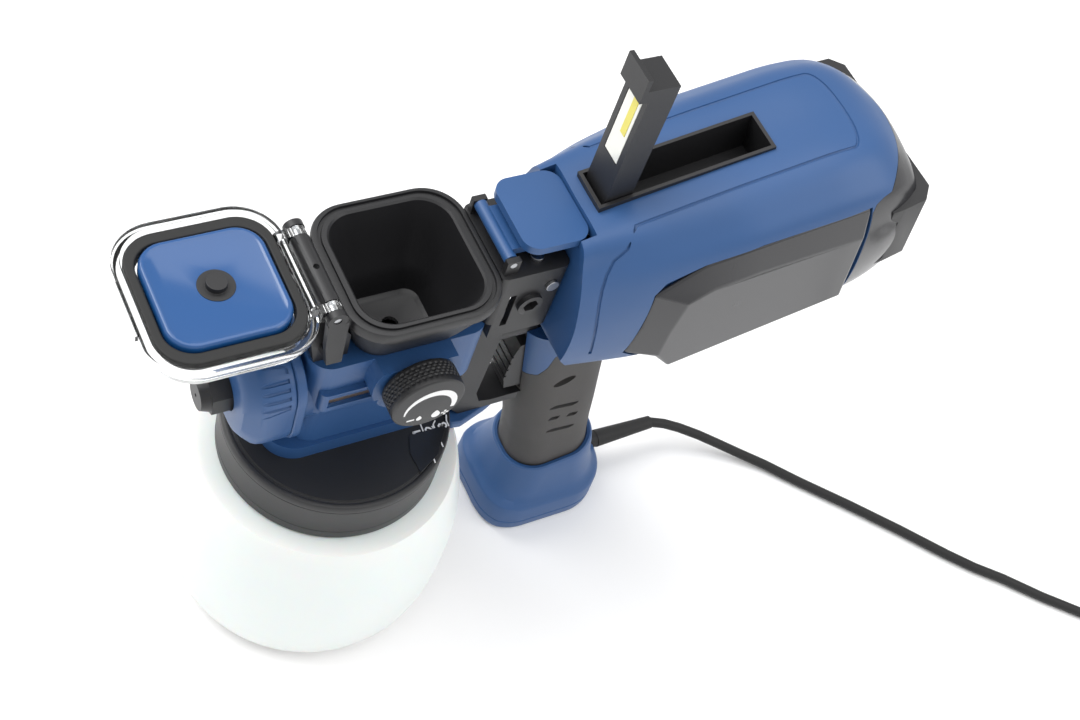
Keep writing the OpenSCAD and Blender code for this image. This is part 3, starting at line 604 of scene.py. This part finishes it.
def foot_ring(grow, z):
    """Ring of the foot, with a shallow dent in its front."""
    ring = []
    for x, y, _ in rrect(FOOT_X, 0, FOOT_L + grow, FOOT_W + grow, FOOT_R + grow / 2, z, 14):
        if x < FOOT_X - 10:
            x += FOOT_DENT * max(0.0, 1 - (y / 24) ** 2)
        ring.append((x, y, z))
    return ring


def neck_ring(grow, z):
    """Leaning ring round the grip's lower end."""
    return [LEAN @ Vector(p) for p in rrect(HANDLE_X, 0, 44 + grow, 35 + grow, 15 + grow / 2, z, 14)]


FOOT_ROWS = ((-3, 0), (-0.8, 0.8), (0, 2.4), (0, 6.4), (-0.7, 6.7), (-0.7, 7.3), (-0.1, 7.6), (-0.8, 16.6),
             (-1.8, 18.2), (-4.4, 19.4))  # growth, height
foot_rings = [foot_ring(grow, z) for grow, z in FOOT_ROWS]
edge = foot_rings[-1]
base = neck_ring(6, -147.6)
for k in (0.25, 0.5, 0.7, 0.85, 0.95):
    flat = [Vector(a).lerp(b, k) for a, b in zip(edge, base)]
    foot_rings.append([Vector((f.x, f.y, a[2] + (b.z - a[2]) * k**2)) for f, a, b in zip(flat, edge, base)])
foot_rings += [neck_ring(5.4, -146.6), neck_ring(4.6, -145.2), neck_ring(3, -144.6), neck_ring(1.2, -144.9)]
foot = raw("foot_piece", *skin(foot_rings))
sleeve_room = in_lean(handle_core(44, 35, 15, -146.2, -120))
core = in_lean(handle_core(38.2, 29.2, 12, -158, -120))
foot = boolean(foot, [core, sleeve_room])
dress(foot, "matte_plastic_blue", "frame_body", ("foot",), angle=30, bevel=0.35)

# ---------- container, cap and front ----------


def lathe(profile):
    """Closed solid of revolution about Z from (radius, z) pairs that start and end on the axis."""
    return skin([circle(0, 0, max(r, 0.02), z, 128) for r, z in profile])


BOTTLE_OUT = [(0.02, 2.2), (36, 2.2), (42, 0.4), (46, 0), (52, 0.6), (57.5, 3), (61.2, 7), (63.4, 13),
              (65, 22), (65.9, 38), (66, 52), (65.4, 62), (64, 72), (61.8, 82), (59.8, 90), (58.6, 94),
              (57.4, 96), (55, 96.6), (43.2, 96.6), (43.2, 117)]
BOTTLE_IN = [(41.2, 117), (41.2, 95), (54, 94), (57, 91), (60, 80), (62.6, 70), (64, 56), (64, 38), (63, 22),
             (61, 13), (56, 6), (50, 3.4), (40, 4.2), (0.02, 4.2)]
make("container_piece", *lathe(BOTTLE_OUT + BOTTLE_IN), "bottle_white", "bottle", ("container",), angle=40)
CAP = [(0.02, 123), (45.2, 123), (45.6, 122.5), (46.4, 122.4), (46.8, 122.9), (47.8, 123), (48.8, 122.6),
       (49.3, 121.8), (49.3, 119), (48.9, 118.8), (49.3, 118.5), (49.3, 103), (49, 102.8), (49.3, 102.6),
       (49.2, 98), (48.8, 97.2), (47.6, 97), (45.2, 97), (45.2, 119), (0.02, 119)]
cap = raw("cap_piece", *lathe(CAP))
cap = boolean(cap, [cutter([circle(0, 0, 6.3, z, 40) for z in (110, 130)])])
dress(cap, "matte_plastic_black", "frame_body", ("cap",), angle=35)


def hollow_tub(outer_rows, inner_rows, cx):
    """Closed wall through outer rings upwards, then inner rings downwards: rows are (z, w, h, r[, shift])."""
    rings = [rrect(cx + (row[4] if len(row) > 4 else 0), 0, row[1], row[2], row[3], row[0], 14)
             for row in outer_rows + inner_rows]
    return skin(rings)


HOP_X = 13.1
OUTLET_X, OUTLET_R = HOP_X + 0.9, 3.5
HOP_OUT = [(178, 38, 34, 7.7, 0.9), (192, 38, 34, 7.7, 0.9), (192.05, 46, 41, 11, 0.9),
           (200, 51, 48, 12.5, 0.6), (212, 58, 57.5, 14.5, 0), (216, 60, 60, 15), (217, 63, 62.4, 16.4),
           (218, 64.6, 63.6, 17), (222.4, 65, 64, 17), (223.3, 64.2, 63.2, 16.6), (223.5, 63, 62, 16)]
HOP_IN = [(223.5, 60.4, 60.6, 15.6), (222.3, 60, 60.2, 15.4), (222.3, 57.4, 57.8, 14.6),
          (223.3, 57, 57.4, 14.4), (223.4, 53, 54.8, 13.4), (222.6, 51.4, 53.2, 12.8),
          (212, 47.6, 48.2, 12, 0.3), (200, 42.6, 41.6, 11, 0.7), (194, 38.2, 35.6, 9.6, 0.9),
          (190, 35.6, 31.8, 8, 0.9), (184, 34.2, 30.2, 7, 0.9), (181, 32.4, 28.4, 6, 0.9),
          (180, 29, 25, 5, 0.9)]
hop = raw("hopper_piece", *hollow_tub(HOP_OUT, HOP_IN, HOP_X))
hop = boolean(hop, [cutter([circle(OUTLET_X, 0, OUTLET_R, z, 32) for z in (170, 190)])])
dress(hop, "matte_plastic_black", "frame_body", ("hopper",), angle=30)

lid_lo, lid_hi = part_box("lid_seal")
LID_X = (lid_lo.x + lid_hi.x) / 2 / MM
SEAL_Z = lid_hi.z / MM
LID_OUT = [(SEAL_Z - 9, 58, 62, 15.6), (SEAL_Z - 8.4, 60.4, 64.4, 16.6), (SEAL_Z - 4.4, 62.4, 66.4, 17.2),
           (SEAL_Z - 4, 64, 68, 18), (SEAL_Z - 3.2, 64.5, 68.5, 18.2), (SEAL_Z - 0.6, 64.5, 68.5, 18.2),
           (SEAL_Z, 63.8, 67.8, 18)]
LID_IN = [(SEAL_Z, 58.4, 62.4, 15.4), (SEAL_Z - 0.5, 57.6, 61.6, 15), (SEAL_Z - 6.5, 57, 61, 14.6),
          (SEAL_Z - 7, 56, 60, 14.2)]
lid = raw("lid_piece", *hollow_tub(LID_OUT, LID_IN, LID_X))
PIN_X, PIN_Z = -25.5, 228.5
HINGE_R, PIN_HOLE_R = 3.7, 1.65
tabs = [box_cut((LID_X - 33.3, -12, SEAL_Z - 3.5), (LID_X - 29.6, 12, SEAL_Z - 0.6))]
for s in (-1, 1):
    y0, y1 = sorted((15.9 * s, 19.9 * s))
    tabs.append(box_cut((LID_X + 29, y0, 225.6), (PIN_X, y1, 231.4)))
    tabs.append(cutter([y_circle(PIN_X, PIN_Z, HINGE_R, y, 28) for y in (y0, y1)]))
lid = boolean(lid, tabs, "UNION")
lid = boolean(lid, [cutter([y_circle(PIN_X, PIN_Z, PIN_HOLE_R, y, 20) for y in (-24, 24)])])
dress(lid, "clear_plastic", "lid_body", ("lid",), angle=35, bevel=0.25)
INSERT_OUT = [(SEAL_Z - 6.9, 47.6, 47.6, 11), (SEAL_Z, 47.6, 47.6, 11), (SEAL_Z + 0.9, 46.8, 47, 10.6),
              (SEAL_Z + 1.5, 45.6, 45.8, 10), (SEAL_Z + 1.6, 43.6, 43.8, 9.4), (SEAL_Z + 1.2, 42, 42.2, 9)]
insert = raw("lid_insert_piece", *hollow_tub(INSERT_OUT, [], LID_X))
stem_hole = cutter([circle(LID_X, 0, 5.4, z, 40) for z in (SEAL_Z - 3, SEAL_Z + 9)])
insert = boolean(insert, [stem_hole])
dress(insert, "gloss_plastic_blue", "lid_body", ("lid_insert",), angle=28, bevel=0.3)


def x_ring(w, h, r, x, cz):
    """Rounded rectangle facing along X."""
    return [(x, a, cz + b) for a, b, _ in rrect(0, 0, w, h, r, 0, 12)]


COLLAR_Z, BORE_Z = 165, 163
COLLAR = [(34, 34, 15, -53.9), (36.4, 36.6, 14, -53.6), (39, 40, 14, -52), (44, 47.4, 16, -48.6),
          (45.2, 49.2, 17, -47.4), (46, 50, 17, -45), (46, 50, 17, -35), (45.4, 49.4, 17, -34.2),
          (44, 48, 16.6, -34)]
collar = raw("front_collar_piece", *skin([x_ring(w, h, r, x, COLLAR_Z) for w, h, r, x in COLLAR]))


def on_corner(x, degrees, s):
    """Point on the collar's upper corner, on side s."""
    a = math.radians(degrees)
    return (x, s * (6 + 17 * math.cos(a)), 173 + 17 * math.sin(a))


cuts = [cutter([x_circle(r, x, BORE_Z, 40) for x, r in ((-60, 9.6), (-46.9, 9.6), (-46.9, 6.1), (-30, 6.1))])]
for s in (-1, 1):
    for degrees in (8, 22, 35.5, 48):
        cuts.append(groove([on_corner(-49, degrees, s), on_corner(-36.5, degrees, s)], 0.95))
    cuts.append(groove([on_corner(-49.5, -8, s), on_corner(-36.5, 3, s)], 0.5))
    hook = [(-46, 72), (-38, 68), (-36.8, 64), (-36.8, 58)]
    cuts.append(groove([on_corner(x, degrees, s) for x, degrees in hook], 0.6))
collar = boolean(collar, cuts)
dress(collar, "matte_plastic_blue", "collar", ("front_collar",), angle=35, bevel=0.25)

# knob: turned body with staggered dimples
KNOB = Vector((13, 0, 182))
KNOB_R = 15.7
DIMPLES, DIMPLE_ROWS, DIMPLE_DEPTH = 40, 5, 0.5
rows = [(-29.6, 14.6), (-30.2, 15.5), (-31, KNOB_R)] + [(-31.3 - 0.3 * k, KNOB_R) for k in range(1, 25)]
rows += [(-39.8, KNOB_R), (-40.5, 15.5), (-40.9, 15), (-41, 14.4)]
rings = []
N = 240
for y, r in rows:
    ring = []
    for i in range(N):
        a = 2 * math.pi * i / N
        dent = 0.0
        for k in range(DIMPLE_ROWS):
            yc = -32.3 - 1.35 * k
            step = 2 * math.pi / DIMPLES
            ac = (a / step + 0.5 * (k % 2)) % 1 - 0.5
            d = math.hypot(ac * step * KNOB_R / 0.85, (y - yc) / 0.62)
            dent = max(dent, DIMPLE_DEPTH * max(0.0, 1 - d * d))
        rr = r - dent
        ring.append((KNOB.x + rr * math.cos(a), y, KNOB.z + rr * math.sin(a)))
    rings.append(ring)
make("knob_piece", *skin(rings), "matte_plastic_black", "knob_body", ("knob",), angle=30)


def flat_on_knob(name, outline, mat="print_white"):
    """Thin print on the knob's face from (right, up) pairs as seen from its front."""
    rings = [[(KNOB.x + u, y, KNOB.z + v) for u, v in outline] for y in (-41.12, -40.9)]
    return make(name, *skin(rings), mat, "knob_body", slot="label")


def drop(cx, cy, s):
    """Outline of a drop with its tip upwards."""
    out = []
    for i in range(24):
        a = 2 * math.pi * i / 24
        k = 1 + 0.55 * max(0.0, math.sin(a)) ** 6
        out.append((cx + s * math.cos(a), cy + s * k * math.sin(a)))
    return out


def arc_points(cx, cy, r, a0, a1, n=40):
    angles = [math.radians(a0 + (a1 - a0) * i / n) for i in range(n + 1)]
    return [(cx + r * math.cos(a), cy + r * math.sin(a)) for a in angles]


flat_on_knob("knob_arc", arc_points(1.2, -3.1, 11.5, 188, -18) + arc_points(0.5, -4.7, 10.1, -10, 180))
flat_on_knob("knob_minus", [(-8, -9.8), (-4.7, -9.8), (-4.7, -8.9), (-8, -8.9)])
flat_on_knob("knob_plus_a", [(7.3, -10.4), (10.5, -10.4), (10.5, -9.5), (7.3, -9.5)])
flat_on_knob("knob_plus_b", [(8.45, -11.6), (9.35, -11.6), (9.35, -8.4), (8.45, -8.4)])
flat_on_knob("knob_drop_small", drop(-2.6, -9.6, 1.2))
flat_on_knob("knob_drop_large", drop(4.8, -9.8, 1.9))

# numbers and pointer lines on the cap's label, read along +Y with their tops towards -X
STROKES = {
    "one": [[(26.2, -21.6), (29.8, -21.6)], [(26.2, -21.6), (27.2, -22.7)]],
    "two": [[(33.2, -23.3), (32.3, -22.8), (32.2, -21.8), (32.9, -21.1), (33.9, -21.4), (35.7, -23.3),
             (35.7, -21)]],
    "three": [[(39.2, -23.2), (38.5, -22.7), (38.4, -21.7), (39.1, -21.1), (39.9, -21.5), (40, -22.2)],
              [(40, -22.2), (40.2, -21.3), (41.1, -21), (41.9, -21.6), (41.8, -22.8), (41.1, -23.3)]],
    "line_one": [[(31.2, -18.6), (29.6, -38.2)]],
    "line_two": [[(38.1, -18.9), (36.4, -20.5), (36.1, -32)]],
    "line_three": [[(44, -17.6), (42.9, -20.3), (42.8, -23.2)]],
}
PRINT_Z = 123.12
for name, runs in STROKES.items():
    width = 0.28 if "line" in name else 0.42
    for k, run in enumerate(runs):
        ring = [(-width, -0.07), (width, -0.07), (width, 0.07), (-width, 0.07)]
        verts, faces = along([(x, y, PRINT_Z) for x, y in run], ring)
        make(f"dial_{name}_{k}", verts, faces, "print_white", "frame_body", slot="label")


# slot window: rounded bezel with a brown window
def obround(half, r, y, n=20):
    """Ring round the slot window: half rounds of radius r at half to each side of its middle."""
    return [(SLOT_X + half * s + r * math.sin(a) * s, y, SLOT_Z + r * math.cos(a) * s)
            for s in (1, -1) for a in np.linspace(0, math.pi, n)]


SLOT_X, SLOT_Z = -10.6, 171
BEZEL = ((4.6, -20.4), (4.6, -22), (4.2, -22.8), (3.6, -22.9), (3.1, -22.6), (2.9, -22), (2.8, -21.2))
GLASS = ((2.9, -21), (2.9, -21.6), (2.4, -21.8))
bezel = raw("slot_bezel", *skin([obround(7.6, r, y) for r, y in BEZEL]))
dress(bezel, "matte_plastic_blue", "frame_body", angle=60)
make("slot_glass", *skin([obround(7.5, r, y) for r, y in GLASS]), "slot_dark", "frame_body", slot="lens")

# yellow LED strip behind the lamp's window
STRIP = ((-6.15, -3.2), (-6.15, 0.2), (-5.6, 0.2), (-5.6, -3.2))
strip = [[(x, y, z) for x, y in STRIP] for z in (40, 62)]
at_lamp = LEAN @ Matrix.Translation((47, 0, 48)) @ Matrix.Rotation(PITCH, 4, "Y")
verts, faces = skin([[at_lamp @ Vector(p) for p in ring] for ring in strip])
make("led_strip", verts, faces, "led_yellow", "lamp", slot="lens", bevel=0.1)

# ---------- the remaining CAD pieces ----------

BEVEL = {
    "spray_head": 1.0, "bracket_block": 0.6, "hinge_bracket": 0.5, "trigger_guard": 1.0, "guard_tongue": 1.2,
    "latch_paddle": 1.2, "lamp_bar": 0.5, "lamp_tray": 0.3, "vent_covers": 0.9, "trigger": 1.0, "nozzle": 0.5,
    "collar_ring": 0.9, "cap_label": 0.1, "lid_seal": 0.8, "slot_window": 0.3,
}
SMALL_BEVEL = 0.2
done = {n for o in bpy.data.objects if "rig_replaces" in o for n in o["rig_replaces"]}
for n in sorted(nodes):
    if n not in done and n != "strain_relief":
        from_cad(n, BEVEL.get(n, SMALL_BEVEL), "slot_dark" if n == "slot_window" else None)
nodes["strain_relief"].data.materials.clear()
nodes["strain_relief"].data.materials.append(MAT["rubber_black"])

# ---------- floor and light ----------

FLOOR_HALF, FLOOR_Z = 6, -0.0002  # metres
corners = [(x * FLOOR_HALF, y * FLOOR_HALF, FLOOR_Z) for x, y in ((-1, -1), (1, -1), (1, 1), (-1, 1))]
floor_mesh = bpy.data.meshes.new("floor")
floor_mesh.from_pydata(corners, [], [(0, 1, 2, 3)])
floor = bpy.data.objects.new("floor", floor_mesh)
scene.collection.objects.link(floor)
floor_mesh.materials.append(material("floor", (0.96, 0.96, 0.96), 0.6, vary=0.004))


def soft_light(name, place, aim, size, power):
    """Area light, with its places and size in metres."""
    data = bpy.data.lights.new(name, "AREA")
    data.shape = "RECTANGLE"
    data.size, data.size_y = size
    data.energy = power
    obj = bpy.data.objects.new(name, data)
    scene.collection.objects.link(obj)
    obj.location = place
    obj.rotation_euler = (Vector(aim) - Vector(place)).to_track_quat("-Z", "Y").to_euler()


soft_light("key", (-0.9, 0.9, 1.6), (0.05, 0, 0.12), (1.4, 1.0), 22)
soft_light("fill", (1.2, -1.0, 1.2), (0.05, 0, 0.12), (1.2, 1.2), 9)
soft_light("top", (0.1, 0.1, 1.9), (0.05, 0, 0), (1.8, 1.8), 16)
world = bpy.data.worlds.new("studio")
scene.world = world
world.use_nodes = True
world.node_tree.nodes["Background"].inputs["Color"].default_value = (1, 1, 1, 1)
world.node_tree.nodes["Background"].inputs["Strength"].default_value = 0.75
scene.view_settings.view_transform = "Standard"

bpy.context.view_layer.update()
